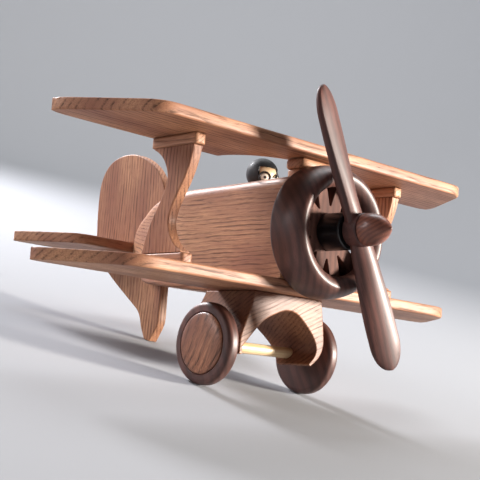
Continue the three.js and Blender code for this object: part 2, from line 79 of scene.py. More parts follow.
def place(plane, u, v, w):
    point = [0, 0, 0]
    for axis, value in zip(PLANES[plane], (u, v, w)):
        point[axis] = value
    return Vector(point)


def signed_area(loop):
    return sum(a.x * b.y - b.x * a.y for a, b in zip(loop, loop[1:] + loop[:1])) / 2


def section(node, plane, at):
    """The longest closed outline where a plane cuts a node, in that plane's two axes."""
    bm = bmesh.new()
    bm.from_mesh(frame["nodes"][node].data)
    bm.transform(TO_LEVEL)
    bmesh.ops.remove_doubles(bm, verts=bm.verts, dist=1e-3)
    normal = place(plane, 0, 0, 1)
    geom = bm.verts[:] + bm.edges[:] + bm.faces[:]
    cut = bmesh.ops.bisect_plane(bm, geom=geom, dist=1e-5, plane_co=normal * at, plane_no=normal)
    edges = {e for e in cut["geom_cut"] if isinstance(e, bmesh.types.BMEdge)}
    loops = []
    while edges:
        edge = edges.pop()
        first, vert = edge.verts
        walk = [first, vert]
        while vert is not first:
            edge = next((e for e in vert.link_edges if e in edges), None)
            if edge is None:
                break
            edges.discard(edge)
            vert = edge.other_vert(vert)
            walk.append(vert)
        u, v, _ = PLANES[plane]
        loops.append([Vector((p.co[u], p.co[v])) for p in walk[:-1]])
    bm.free()
    loop = max(loops, key=lambda points: abs(signed_area(points)))
    if signed_area(loop) < 0:
        loop.reverse()
    return straightened(loop)


def turning(before, at, after):
    a, b = at - before, after - at
    return math.atan2(a.x * b.y - a.y * b.x, a.dot(b))


def corners(loop):
    return zip(loop[-1:] + loop[:-1], loop, loop[1:] + loop[:1])


def straightened(loop):
    """Drops the points in the middle of straight runs."""
    return [at for before, at, after in corners(loop) if abs(turning(before, at, after)) > 0.004]


def softened(loop, sharp=0.7, radius=0.8, rounds=2):
    """Rounds each hard corner a little, and smooths the facets of the curves between them."""
    result = []
    for before, at, after in corners(loop):
        turn = turning(before, at, after)
        if abs(turn) < sharp:
            result.append(at)
            continue
        slope = math.tan(abs(turn) / 2)
        cut = min(radius * slope, 0.45 * (before - at).length, 0.45 * (after - at).length)
        start = at + (before - at).normalized() * cut
        along = (at - before).normalized()
        spoke = Vector((along.y, -along.x)) * math.copysign(cut / slope, turn)
        steps = max(3, math.ceil(abs(turn) / 0.4))
        for i in range(steps + 1):
            result.append(start - spoke + Matrix.Rotation(turn * i / steps, 2) @ spoke)
    for _ in range(rounds):
        finer = []
        for before, at, after in corners(result):
            turn = abs(turning(before, at, after))
            if turn < 0.03 or turn > sharp:
                finer.append(at)
                continue
            cut = 0.25 * min((before - at).length, (after - at).length)
            finer.append(at + (before - at).normalized() * cut)
            finer.append(at + (after - at).normalized() * cut)
        result = finer
    return result


def room_inside(loop, normals):
    """Radius of the largest circle that fits inside the outline and touches it at each point."""
    room = []
    for at, normal in zip(loop, normals):
        best = 1e3
        for other in loop:
            across = normal.dot(other - at)
            if across > 1e-4:
                best = min(best, (other - at).length_squared / (2 * across))
        room.append(best)
    return room


# ---------------------------------------------------------------- meshes
EDGE_STEPS = 5


def skin(rings):
    """A closed bmesh over rings of points, with a cap over the first ring and the last."""
    bm = bmesh.new()
    made = [[bm.verts.new(p) for p in ring] for ring in rings]
    count = len(rings[0])
    for one, two in zip(made, made[1:]):
        for i in range(count):
            j = (i + 1) % count
            bm.faces.new((one[i], one[j], two[j], two[i]))
    bm.faces.new(made[0][::-1])
    bm.faces.new(made[-1])
    bmesh.ops.recalc_face_normals(bm, faces=bm.faces)
    return bm


def board(outline, plane, low, thickness, edge, rounds=2):
    """A flat board with rounded edges. The rounding dies out where the outline is narrow."""
    loop = softened(outline, rounds=rounds)
    normals, reaches, lengths = [], [], []
    for before, at, after in corners(loop):
        a, b = (at - before).normalized(), (after - at).normalized()
        normals.append(Vector((-a.y - b.y, a.x + b.x)).normalized())
        reaches.append(1 / max(0.5, normals[-1].dot(Vector((-a.y, a.x)))))
        lengths.append((at - before).length)
    radii = [min(edge, 0.45 * room) for room in room_inside(loop, normals)]
    for _ in range(2):
        for i in range(len(radii)):
            radii[i] = min(radii[i], radii[i - 1] + 0.35 * lengths[i])
        for i in reversed(range(len(radii))):
            radii[i - 1] = min(radii[i - 1], radii[i] + 0.35 * lengths[i])
    inward = [normal * reach for normal, reach in zip(normals, reaches)]
    angles = [math.pi / 2 * i / EDGE_STEPS for i in range(EDGE_STEPS + 1)]
    upper = [(1 - math.cos(a), 1 - math.sin(a)) for a in reversed(angles)]
    upper = [(1.3, 0), *upper]

    def ring(inset, drop, top):
        points = []
        for at, normal, radius in zip(loop, inward, radii):
            u, v = at + normal * radius * inset
            depth = thickness - radius * drop if top else radius * drop
            points.append(place(plane, u, v, low + depth))
        return points

    rings = [ring(inset, drop, True) for inset, drop in upper]
    rings += [ring(inset, drop, False) for inset, drop in reversed(upper)]
    return skin(rings)


def turned(profile, axis, centre, segments=96):
    """A closed profile of [radius, position] turned about a level axis through centre."""
    u, v, w = PLANES[axis]
    bm = bmesh.new()
    columns = []
    for radius, along in profile:
        if radius < 1e-6:
            point = Vector(centre)
            point[w] = along
            columns.append([bm.verts.new(point)])
            continue
        column = []
        for i in range(segments):
            angle = 2 * math.pi * i / segments
            point = Vector(centre)
            point[u] += radius * math.cos(angle)
            point[v] += radius * math.sin(angle)
            point[w] = along
            column.append(bm.verts.new(point))
        columns.append(column)
    joined = list(zip(columns, columns[1:]))
    if len(columns[0]) > 1:
        joined.append((columns[-1], columns[0]))
    for one, two in joined:
        for i in range(segments):
            j = (i + 1) % segments
            if len(one) == 1 and len(two) == 1:
                break
            if len(one) == 1:
                bm.faces.new((one[0], two[j], two[i]))
            elif len(two) == 1:
                bm.faces.new((one[i], one[j], two[0]))
            else:
                bm.faces.new((one[i], one[j], two[j], two[i]))
    bmesh.ops.recalc_face_normals(bm, faces=bm.faces)
    return bm


def eased(profile, radius=0.6):
    """A turned profile with its hard corners rounded. Points on the axis stay where they are."""
    points = [Vector(p) for p in profile]
    open_ended = points[0].x < 1e-6
    if not open_ended:
        return softened(points, radius=radius)
    inner = points[1:-1]
    result = softened([points[0], *inner, points[-1]], radius=radius)
    kept = [p for p in result if p.x > 1e-4]
    start = min(range(len(kept)), key=lambda i: (kept[i] - points[0]).length)
    kept = kept[start:] + kept[:start]
    if (kept[0] - points[1]).length > (kept[-1] - points[1]).length and len(kept) > 2:
        kept.reverse()
    return [points[0], *kept, points[-1]]


def arc(cu, cv, ru, rv, start, end, steps):
    angles = [math.radians(start + (end - start) * i / steps) for i in range(steps + 1)]
    return [(cu + ru * math.cos(a), cv + rv * math.sin(a)) for a in angles]


def rod(radius, low, high):
    return [(0, low), (radius, low), (radius, high), (0, high)]


def block(low, high):
    corner = [(low[0], low[1]), (high[0], low[1]), (high[0], high[1]), (low[0], high[1])]
    return skin([[Vector((x, y, z)) for x, y in corner] for z in (low[2], high[2])])


def carved(bm, tools, operation="DIFFERENCE"):
    """Cuts the tools out of a bmesh, or joins them to it."""
    def to_object(source):
        mesh = bpy.data.meshes.new("tool")
        source.to_mesh(mesh)
        source.free()
        made = bpy.data.objects.new("tool", mesh)
        bpy.context.scene.collection.objects.link(made)
        return made

    target = to_object(bm)
    cutters = [to_object(tool) for tool in tools]
    for cutter in cutters:
        modifier = target.modifiers.new("cut", "BOOLEAN")
        modifier.operation = operation
        modifier.solver = "MANIFOLD"
        modifier.object = cutter
    bpy.context.view_layer.update()
    result = bmesh.new()
    result.from_object(target, bpy.context.evaluated_depsgraph_get())
    for made in (target, *cutters):
        mesh = made.data
        bpy.data.objects.remove(made)
        bpy.data.meshes.remove(mesh)
    return result


# Which level axis the grain runs along, and how far it is turned from it, in degrees.
ALONG = {
    "x": Matrix.Identity(3),
    "y": Matrix(((0, 1, 0), (-1, 0, 0), (0, 0, 1))),
    "z": Matrix(((0, 0, 1), (0, 1, 0), (-1, 0, 0))),
}
SHARP_ANGLE = 32


def piece(name, bm, material, grain="x", tilt=0.0, tilt_axis="y", seed=0):
    """Puts a made mesh in the row frame, with its grain, finish and body."""
    mesh = bpy.data.meshes.new(name)
    bm.to_mesh(mesh)
    bm.free()
    level = [v.co.copy() for v in mesh.vertices]
    centre = sum(level, Vector()) / len(level)
    turn = ALONG[grain] @ Matrix.Rotation(math.radians(tilt), 3, tilt_axis.upper())
    offset = Vector((173.0, 61.0, 97.0)) * seed
    attribute = mesh.attributes.new("grain", "FLOAT_VECTOR", "POINT")
    for at, value in zip(level, attribute.data):
        value.vector = turn @ (at - centre) + offset
    mesh.transform(TO_ROW)
    mesh.polygons.foreach_set("use_smooth", [True] * len(mesh.polygons))
    mesh.set_sharp_from_angle(angle=math.radians(SHARP_ANGLE))
    made = bpy.data.objects.new(name + "_fine", mesh)
    bpy.context.scene.collection.objects.link(made)
    mesh.materials.append(material)
    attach(made, BODY_OF[name])
    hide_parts(name)
    return made


# ---------------------------------------------------------------- materials
class Graph:
    """A short way to write a node tree: each call adds one node and returns its output."""

    def __init__(self, name):
        self.material = bpy.data.materials.new(name)
        self.material.use_nodes = True
        self.nodes = self.material.node_tree.nodes
        self.links = self.material.node_tree.links
        self.shader = self.nodes["Principled BSDF"]

    def add(self, kind, inputs=(), output=0, **properties):
        node = self.nodes.new("ShaderNode" + kind)
        for key, value in properties.items():
            setattr(node, key, value)
        for key, value in dict(inputs).items():
            self.feed(node.inputs[key], value)
        return node.outputs[output]

    def feed(self, socket, value):
        if isinstance(value, bpy.types.NodeSocket):
            self.links.new(value, socket)
        else:
            socket.default_value = value

    def math(self, operation, *values, clamp=False):
        inputs = dict(enumerate(values))
        return self.add("Math", inputs, operation=operation, use_clamp=clamp)

    def scaled(self, vector, factors):
        inputs = {0: vector, 1: factors}
        return self.add("VectorMath", inputs, operation="MULTIPLY")

    def noise(self, vector, factors, detail=2.0, roughness=0.5):
        inputs = {
            "Vector": self.scaled(vector, factors),
            "Scale": 1.0,
            "Detail": detail,
            "Roughness": roughness,
        }
        return self.add("TexNoise", inputs)

    def span(self, value, low, high, to_low=0.0, to_high=1.0):
        inputs = {"Value": value, 1: low, 2: high, 3: to_low, 4: to_high}
        return self.add("MapRange", inputs, interpolation_type="SMOOTHSTEP")

    def mix(self, factor, one, two):
        node = self.nodes.new("ShaderNodeMix")
        node.data_type = "RGBA"
        for socket, value in ((0, factor), (6, one), (7, two)):
            self.feed(node.inputs[socket], value)
        return node.outputs[2]

    def finish(self, **sockets):
        for name, value in sockets.items():
            self.feed(self.shader.inputs[name.replace("_", " ")], value)
        return self.material


def linear(code):
    """A '#rrggbb' colour as linear red, green, blue and 1."""
    values = [int(code[i:i + 2], 16) / 255 for i in (1, 3, 5)]
    bent = [v / 12.92 if v <= 0.04045 else ((v + 0.055) / 1.055) ** 2.4 for v in values]
    return (*bent, 1.0)


def ringed(g, at, pith, period, wander):
    """The growth-ring coordinate: distance from the pith, counted in rings."""
    swing = g.noise(at, (0.006, 0.012, 0.012), detail=2.0)
    ripple = g.noise(at, (0.028, 0.05, 0.05), detail=2.0)
    parts = g.add("SeparateXYZ", {0: at}, output=0).node
    bend = g.math("ADD", g.math("MULTIPLY", swing, wander * 4), g.math("MULTIPLY", ripple, wander))
    y = g.math("ADD", parts.outputs[1], bend)
    y = g.math("SUBTRACT", y, pith[0])
    z = g.math("SUBTRACT", parts.outputs[2], pith[1])
    distance = g.math("SQRT", g.math("ADD", g.math("MULTIPLY", y, y), g.math("MULTIPLY", z, z)))
    drift = g.noise(at, (0.004, 0.02, 0.02), detail=1.0)
    return g.math("ADD", g.math("DIVIDE", distance, period), g.math("MULTIPLY", drift, 2.2))


def oak(name, pale, deep, pore, pith=(-55.0, 30.0), period=4.6, wander=5.0, depth=1.0, gloss=0.46):
    g = Graph(name)
    at = g.add("Attribute", output=1, attribute_name="grain")
    rings = ringed(g, at, pith, period, wander)
    phase = g.math("FRACT", rings)
    early = g.math("MULTIPLY", g.span(phase, 0.0, 0.1), g.math("SUBTRACT", 1.0, g.span(phase, 0.16, 0.5)))
    late = g.span(phase, 0.6, 1.0)
    blotch = g.noise(at, (0.009, 0.03, 0.03), detail=3.0)
    tone = g.mix(g.span(blotch, 0.3, 0.72), pale, deep)
    fibre = g.noise(at, (0.03, 1.0, 1.0), detail=3.0, roughness=0.65)
    tone = g.mix(g.math("MULTIPLY", g.span(fibre, 0.34, 0.68), 0.6), tone, deep)
    tone = g.mix(g.math("MULTIPLY", late, 0.3), tone, deep)
    presence = g.noise(at, (0.022, 0.16, 0.16), detail=2.0)
    strength = g.math("MULTIPLY", early, g.span(presence, 0.34, 0.62, 0.12, 1.0))
    dashes = g.noise(at, (0.05, 0.8, 0.8), detail=2.0, roughness=0.55)
    lines = g.math("MULTIPLY", g.span(dashes, 0.38, 0.56, 0.35, 1.0), strength)
    fine = g.noise(at, (0.08, 2.1, 2.1), detail=1.0)
    between = g.math("ADD", g.math("MULTIPLY", early, 0.6), 0.38)
    specks = g.math("MULTIPLY", g.span(fine, 0.55, 0.68), between)
    pores = g.math("MAXIMUM", lines, specks, clamp=True)
    rays = g.noise(at, (0.16, 0.42, 2.6), detail=0.0)
    rays = g.math("MULTIPLY", g.span(rays, 0.62, 0.74), 0.3)
    tone = g.mix(rays, tone, deep)
    tone = g.mix(g.math("MULTIPLY", pores, 0.78 * depth), tone, pore)
    relief = g.math("SUBTRACT", g.math("MULTIPLY", fibre, 0.25), pores)
    bump = g.add("Bump", {"Strength": 0.45, "Distance": 0.00014, "Height": relief})
    cloudy = g.math("ADD", gloss, g.math("MULTIPLY", blotch, 0.12))
    rough = g.math("ADD", g.math("MULTIPLY", pores, 0.22), cloudy)
    return g.finish(
        Base_Color=tone, Roughness=rough, Normal=bump,
        Coat_Weight=0.06, Coat_Roughness=0.3, Specular_IOR_Level=0.34,
    )


def dark_wood(name, pale, deep, vein, period=5.5, pith=(-40.0, 25.0), gloss=0.28, coat=0.5, haze=0.14):
    g = Graph(name)
    at = g.add("Attribute", output=1, attribute_name="grain")
    rings = ringed(g, at, pith, period, 4.0)
    wave = g.math("SINE", g.math("MULTIPLY", rings, 2 * math.pi))
    band = g.span(wave, -0.6, 1.0)
    cloud = g.noise(at, (0.012, 0.05, 0.05), detail=3.0)
    tone = g.mix(g.span(cloud, 0.32, 0.7), pale, deep)
    tone = g.mix(g.math("MULTIPLY", band, 0.45), tone, vein)
    fibre = g.noise(at, (0.05, 1.7, 1.7), detail=3.0, roughness=0.6)
    tone = g.mix(g.math("MULTIPLY", g.span(fibre, 0.4, 0.75), 0.5), tone, deep)
    pores = g.span(g.noise(at, (0.09, 2.1, 2.1), detail=1.0), 0.6, 0.74)
    tone = g.mix(g.math("MULTIPLY", pores, 0.55), tone, vein)
    relief = g.math("SUBTRACT", g.math("MULTIPLY", fibre, 0.3), pores)
    bump = g.add("Bump", {"Strength": 0.22, "Distance": 0.0001, "Height": relief})
    rough = g.math("ADD", gloss, g.math("MULTIPLY", g.math("ADD", pores, cloud), 0.08))
    return g.finish(
        Base_Color=tone, Roughness=rough, Normal=bump,
        Coat_Weight=coat, Coat_Roughness=haze, Specular_IOR_Level=0.4,
    )


def dowel_wood(name, pale, deep):
    g = Graph(name)
    at = g.add("Attribute", output=1, attribute_name="grain")
    fibre = g.noise(at, (0.03, 1.3, 1.3), detail=4.0, roughness=0.6)
    streak = g.noise(at, (0.012, 0.3, 0.3), detail=2.0)
    tone = g.mix(g.span(g.math("ADD", fibre, g.math("SUBTRACT", streak, 0.5)), 0.3, 0.75), pale, deep)
    bump = g.add("Bump", {"Strength": 0.2, "Distance": 0.00008, "Height": fibre})
    rough = g.math("ADD", 0.36, g.math("MULTIPLY", fibre, 0.18))
    return g.finish(Base_Color=tone, Roughness=rough, Normal=bump, Coat_Weight=0.2, Coat_Roughness=0.2)


def paint(name, colour, worn, gloss, spread=0.12, coat=0.25):
    """Brushed enamel over wood: faint brush lines, uneven gloss and slight rubbing."""
    g = Graph(name)
    at = g.add("Attribute", output=1, attribute_name="grain")
    brush = g.noise(at, (0.15, 2.2, 2.2), detail=2.0)
    cloud = g.noise(at, (0.12, 0.12, 0.12), detail=3.0)
    tone = g.mix(g.math("MULTIPLY", g.span(cloud, 0.45, 0.8), 0.5), colour, worn)
    bump = g.add("Bump", {"Strength": 0.16, "Distance": 0.00008, "Height": brush})
    rough = g.math("ADD", gloss, g.math("MULTIPLY", cloud, spread))
    return g.finish(Base_Color=tone, Roughness=rough, Normal=bump, Coat_Weight=coat, Coat_Roughness=0.2)


def lens_enamel():
    """White enamel with a painted black pupil in the middle of each lens."""
    g = Graph("white_enamel")
    at = g.add("Attribute", output=1, attribute_name="grain")
    cloud = g.noise(at, (0.4, 0.4, 0.4), detail=2.0)
    tone = g.mix(cloud, linear("#f1eee4"), linear("#dcd6c6"))
    spread = g.add("VectorMath", {0: at}, output=1, operation="LENGTH")
    dot = g.math("SUBTRACT", 1.0, g.span(g.math("ADD", spread, g.math("MULTIPLY", cloud, 0.3)), 1.35, 1.7))
    tone = g.mix(dot, tone, linear("#17171a"))
    return g.finish(Base_Color=tone, Roughness=0.3, Coat_Weight=0.4, Coat_Roughness=0.12)


def plain_steel():
    g = Graph("steel")
    at = g.add("Attribute", output=1, attribute_name="grain")
    grit = g.noise(at, (3.0, 3.0, 3.0), detail=3.0)
    tone = g.mix(grit, linear("#8f8f92"), linear("#b4b4b8"))
    rough = g.math("ADD", 0.28, g.math("MULTIPLY", grit, 0.2))
    return g.finish(Base_Color=tone, Roughness=rough, Metallic=1.0)


OAK_PALE = linear("#cf9a72")
OAK_DEEP = linear("#94614a")
OAK_PORE = linear("#3b221a")
OAK = oak("oak_flat", OAK_PALE, OAK_DEEP, OAK_PORE)
OAK_BLOCK = oak("oak_block", OAK_PALE, OAK_DEEP, OAK_PORE, pith=(14.0, -150.0), period=3.4, wander=8.0)
OAK_GEAR = oak(
    "oak_gear", linear("#a97450"), linear("#6d422f"), OAK_PORE, pith=(-24.0, -95.0), period=3.2, wander=6.0,
)
OAK_STRAIGHT = oak(
    "oak_straight", OAK_PALE, OAK_DEEP, OAK_PORE, pith=(-150.0, 20.0), period=2.9, wander=3.5,
)
# The wheel discs' oak is painted darker than the other oak, as painted shade for the lower wing's shadow over the
# discs; their deeper grain is the wood's own.
OAK_DISC_SHADED = oak(
    "oak_disc_shaded", linear("#bd8667"), linear("#6c4334"), linear("#2c1a15"),
    pith=(-60.0, 12.0), period=4.2, wander=8.0, depth=1.15, gloss=0.27,
)
OAK_FINE = oak(
    "oak_fine", linear("#d3a17c"), linear("#a37156"), linear("#4a2e23"),
    pith=(-60.0, 40.0), period=2.8, wander=3.0, depth=0.8,
)
WALNUT = dark_wood(
    "walnut", linear("#6d463d"), linear("#4c302a"), linear("#2c1c18"), coat=0.16, gloss=0.44, haze=0.32,
)
WALNUT_PROP = dark_wood(
    "walnut_propeller", linear("#6f443b"), linear("#4b2c27"), linear("#2d1a17"),
    coat=0.14, gloss=0.5, haze=0.26,
)
WALNUT_ENGINE = dark_wood(
    "walnut_engine", linear("#7d5446"), linear("#5c3b32"), linear("#33201b"), coat=0.0, gloss=0.75,
)
CHERRY = dark_wood(
    "cherry", linear("#8a5340"), linear("#623a2f"), linear("#3c231d"),
    period=3.4, coat=0.25, gloss=0.34,
)
BIRCH = dowel_wood("birch", linear("#efd2a8"), linear("#d5ad7d"))
BLACK = paint("black_enamel", linear("#151417"), linear("#242226"), 0.32)
HELMET_BLACK = paint("helmet_black", linear("#131215"), linear("#201e21"), 0.6, coat=0.05)
FACE = paint("face_paint", linear("#e6cca6"), linear("#d2b184"), 0.42)
LENS = lens_enamel()
STEEL = plain_steel()


# ---------------------------------------------------------------- boards
OFF_SEAM = 0.013  # keeps a section off any line of vertices at mid thickness
WING_EDGE = 1.8
TAILPLANE_EDGE = 1.7
UPRIGHT_EDGE = 1.4
PAD_EDGE = 2.2
CABANE_EDGE = 3.6
NECK_EDGE = 1.6
GEAR_EDGE = 1.3


def flat_board(name, plane, edge, material, grain, seed):
    low, high = level_box(name)
    axis = PLANES[plane][2]
    middle = (low[axis] + high[axis]) / 2
    outline = section(name, plane, middle + OFF_SEAM)
    made = board(outline, plane, low[axis], high[axis] - low[axis], edge)
    return piece(name, made, material, grain=grain, seed=seed)


def make_boards():
    flat_board("upper_wing", "z", WING_EDGE, OAK, "x", 1)
    flat_board("lower_wing", "z", WING_EDGE, OAK, "x", 2)
    flat_board("tailplane", "z", TAILPLANE_EDGE, OAK, "x", 3)
    flat_board("fin_skid", "x", UPRIGHT_EDGE, OAK_STRAIGHT, "z", 4)
    for seed, side in ((5, "starboard"), (6, "port")):
        flat_board("strut_" + side, "x", UPRIGHT_EDGE, OAK_STRAIGHT, "z", seed)
        flat_board("upper_pad_" + side, "z", PAD_EDGE, OAK_FINE, "y", seed + 2)
        flat_board("lower_pad_" + side, "z", PAD_EDGE, OAK_FINE, "y", seed + 4)
    flat_board("cabane_pad", "z", CABANE_EDGE, OAK_FINE, "x", 11)
    flat_board("cabane_neck", "z", NECK_EDGE, OAK_FINE, "x", 12)


# The curve [y, z] that the rear of the landing gear is sawn to.
GEAR_HEEL = [(94, -112), (99, -124), (99.5, -137), (92, -150), (82, -161), (71, -170)]
GEAR_TILT = 24


def make_landing_gear():
    low, high = level_box("landing_gear")
    behind_face = 12.0
    outline = section("landing_gear", "y", low.y + behind_face)
    arched = board(outline, "y", low.y, high.y - low.y, GEAR_EDGE)
    bore = turned(rod(AXLE_RADIUS + RUNNING, -BEYOND, BEYOND), "x", AXLE, 64)
    above, below, behind = -90, -200, 150
    (first_y, _), (last_y, _) = GEAR_HEEL[0], GEAR_HEEL[-1]
    waste = [(first_y, above), *GEAR_HEEL, (last_y, below), (behind, below), (behind, above)]
    waste = softened([Vector(p) for p in waste])
    heel = skin([[place("x", y, z, x) for y, z in waste] for x in (-BEYOND, BEYOND)])
    made = carved(arched, [heel, bore])
    return piece("landing_gear", made, OAK_GEAR, grain="x", tilt=GEAR_TILT, seed=13)


# ---------------------------------------------------------------- fuselage
HULL = {
    "front": 12.0, "rear": 242.7, "half": 37.0, "tail_half": 7.0, "taper_from": 130.0,
    "top": -18.3, "crest_slope": 0.022, "crest_end": 150.0, "crest_power": 2.3, "tail_top": -61.0,
    "bottom": -112.2, "belly_flat_end": 104.0, "belly_slope": 0.1, "tuck_from": 195.0,
    "tuck_rise": 26.0, "shoulder": 9.0, "tail_shoulder": 16.0, "keel": 3.0,
}


def hull_section(y):
    h = HULL
    taper = min(1.0, max(0.0, (y - h["taper_from"]) / (h["rear"] - h["taper_from"])))
    half = h["tail_half"] + (h["half"] - h["tail_half"]) * math.cos(taper * math.pi / 2)
    crest = h["top"] - h["crest_slope"] * (min(y, h["crest_end"]) - h["front"])
    drop = min(1.0, max(0.0, (y - h["crest_end"]) / (h["rear"] - h["crest_end"])))
    fullness = (1 - drop ** h["crest_power"]) ** (1 / h["crest_power"])
    top = h["tail_top"] + (crest - h["tail_top"]) * fullness
    tuck = max(0.0, (y - h["tuck_from"]) / (h["rear"] - h["tuck_from"]))
    rise = max(0.0, y - h["belly_flat_end"]) * h["belly_slope"]
    bottom = h["bottom"] + rise + h["tuck_rise"] * tuck * tuck
    rounding = h["shoulder"] + (h["tail_shoulder"] - h["shoulder"]) * taper
    shoulder = min(rounding, 0.9 * half, 0.6 * (top - bottom))
    keel = arc(half - h["keel"], bottom + h["keel"], h["keel"], h["keel"], -90, 0, 5)
    crown = arc(half - shoulder, top - shoulder, shoulder, shoulder, 0, 90, 10)
    side = [
        (half, bottom + h["keel"] + (top - shoulder - bottom - h["keel"]) * i / 8)
        for i in range(1, 8)
    ]
    right = [*keel, *side, *crown]
    deck = [((half - shoulder) * (1 - i / 4), top) for i in range(1, 4)]
    belly = [((half - h["keel"]) * i / 4, bottom) for i in range(1, 4)]
    left = [(-x, z) for x, z in reversed(right)]
    ring = [*right, *deck, (0, top), *[(-x, z) for x, z in reversed(deck)], *left]
    ring += [*[(-x, z) for x, z in reversed(belly)], (0, bottom), *belly]
    return [Vector((x, y, z)) for x, z in ring]


def make_fuselage():
    straight = [HULL["front"] + (HULL["belly_flat_end"] - HULL["front"]) * i / 6 for i in range(6)]
    reach = HULL["rear"] - HULL["belly_flat_end"]
    tail = [
        HULL["belly_flat_end"] + reach * math.sin(math.pi / 2 * i / 44) for i in range(45)
    ]
    hull = skin([hull_section(y) for y in straight + tail])
    wing = level_box("lower_wing")[1]
    side, under, over, behind = 60, -130, 20, 260
    notch = block((-side, 0, under), (side, wing.y + GAP, wing.z + GAP))
    kerf_half = BOARD / 2 + GAP
    fin_front = level_box("fin_skid")[0].y
    kerf = block((-kerf_half, fin_front - GAP, under), (kerf_half, behind, over))
    lip, rim = 1.6, COCKPIT_DECK
    walls = arc(PILOT_HOLE + lip, rim - lip, lip, lip, 180, 90, 6)
    above = 10
    profile = [
        (0, PILOT_FLOOR), (PILOT_HOLE, PILOT_FLOOR), *walls, (PILOT_HOLE + lip, above), (0, above),
    ]
    cockpit = turned(profile, "z", (0, PILOT_Y, 0), 72)
    return piece("fuselage", carved(hull, [notch, kerf, cockpit]), OAK_BLOCK, grain="y", seed=14)


# ---------------------------------------------------------------- nose
AXLE_RADIUS = 4.75
SHAFT_RADIUS = 3.2
PILOT_Y = 80.0
PILOT_HOLE = 17.0
PILOT_FLOOR = -50.0
COCKPIT_DECK = HULL["top"] - HULL["crest_slope"] * (PILOT_Y - HULL["front"])
NOSE = (0, 0, THRUST)
ENGINE_EDGE = 1.0
ENGINE_BORE = SHAFT_RADIUS + 0.5
COLLAR_POCKET = 8.0
COLLAR_SEAT = 2.0


COWL = {
    "rear": 11.7, "front": -20.5, "outer": 54.6, "lip": 45.5, "mouth": 36.3, "bore": 45.5,
    "swell": 1.0, "rear_round": 3.5, "mouth_round": 10.0, "mouth_depth": 16.0,
}


def make_cowl():
    c = COWL
    outer, lip, front, rounding = c["outer"], c["lip"], c["front"], c["rear_round"]
    profile = [
        (c["bore"], c["rear"]),
        *arc(outer - rounding, c["rear"] - rounding, rounding, rounding, 90, 0, 6),
        *arc(lip, c["swell"], outer - lip, c["swell"] - front, 0, -90, 28),
        *arc(lip, front + c["mouth_round"], lip - c["mouth"], c["mouth_round"], -93, -180, 24),
        (c["bore"], front + c["mouth_depth"]),
    ]
    made = turned(softened([Vector(p) for p in profile]), "y", NOSE, 160)
    return piece("cowl_ring", made, WALNUT, grain="z", tilt=20, seed=15)


def make_engine():
    low, high = level_box("engine_cylinders")
    outline = section("engine_cylinders", "y", (low.y + high.y) / 2)
    star = board(outline, "y", low.y, high.y - low.y, ENGINE_EDGE, rounds=1)
    reach = 30
    hole = turned(rod(ENGINE_BORE, -reach, reach), "y", NOSE, 40)
    pocket = turned(rod(COLLAR_POCKET, COLLAR_SEAT, reach), "y", NOSE, 48)
    made = carved(star, [hole, pocket])
    return piece("engine_cylinders", made, WALNUT_ENGINE, grain="z", seed=16)


def make_crankcase():
    low, high = level_box("crankcase")
    radius, bore = high.x, SHAFT_RADIUS + RUNNING
    profile = [(bore, low.y), (radius, low.y), (radius, high.y), (bore, high.y)]
    return piece("crankcase", turned(eased(profile, 1.2), "y", NOSE), BLACK, grain="y", seed=17)


def make_ring(name, inner, material, seed):
    low, high = level_box(name)
    profile = [(inner, low.y), (high.x, low.y), (high.x, high.y), (inner, high.y)]
    return piece(name, turned(eased(profile, 0.25), "y", NOSE, 64), material, grain="y", seed=seed)


def make_shaft():
    low, high = level_box("propeller_shaft")
    made = turned(eased(rod(SHAFT_RADIUS, low.y, high.y), 0.5), "y", NOSE, 48)
    return piece("propeller_shaft", made, BIRCH, grain="y", seed=20)


# ---------------------------------------------------------------- propeller
BLADE = {
    "tip": 118.9, "pitch": 13.0, "lean": 26.3, "full_pitch": 30.0, "round_from": 0.8,
    "root_chord": 20.0, "chord": 29.0, "chord_at": 0.72, "root_thick": 11.0, "tip_thick": 7.0,
}
# The upper blade's section, in shares of half chord and half thickness. It is flat behind and
# crowned in front, and its starboard edge is cut off square, with an edge line at either side.
BLADE_SECTION = [
    (1, 0.5), (0.9, 0.85), (0.5, 1), (0, 1), (-0.5, 1), (-0.95, 0.85),
    (-1, 0.25), (-0.9, -0.5), (-0.5, -0.88), (0, -1), (0.5, -0.7), (0.88, -0.1),
]
BLADE_EDGES = (5, 7)
BLADE_RINGS = 52
BOSS = {"radius": 13.5, "front": -43.0, "rear": -28.7, "edge": 1.6}


def blade_size(radius):
    b = BLADE
    along = radius / b["tip"]
    into_tip = max(0.0, (along - b["round_from"]) / (1 - b["round_from"]))
    round_tip = math.sqrt(max(0.0, 1 - into_tip ** 2))
    swell = math.sin(min(along / b["chord_at"], 1) * math.pi / 2) ** 2
    chord = (b["root_chord"] + (b["chord"] - b["root_chord"]) * swell) * round_tip
    thick = (b["root_thick"] + (b["tip_thick"] - b["root_thick"]) * along) * (0.25 + 0.75 * round_tip)
    return max(chord, 2.4), max(thick, 1.8)


def section_point(place_along):
    """A point of the upper blade's section, smooth except at its two edge lines."""
    count = len(BLADE_SECTION)
    first = int(place_along) % count
    share = place_along - int(place_along)
    one, two = (Vector(BLADE_SECTION[(first + i) % count]) for i in (0, 1))
    before = one if first in BLADE_EDGES else Vector(BLADE_SECTION[first - 1])
    after = two if (first + 1) in BLADE_EDGES else Vector(BLADE_SECTION[(first + 2) % count])
    if before is one:
        before = 2 * one - two
    if after is two:
        after = 2 * two - one
    bend = 2 * one + (two - before) * share
    bend += (2 * before - 5 * one + 4 * two - after) * share ** 2
    return (bend + (3 * one - before - 3 * two + after) * share ** 3) / 2


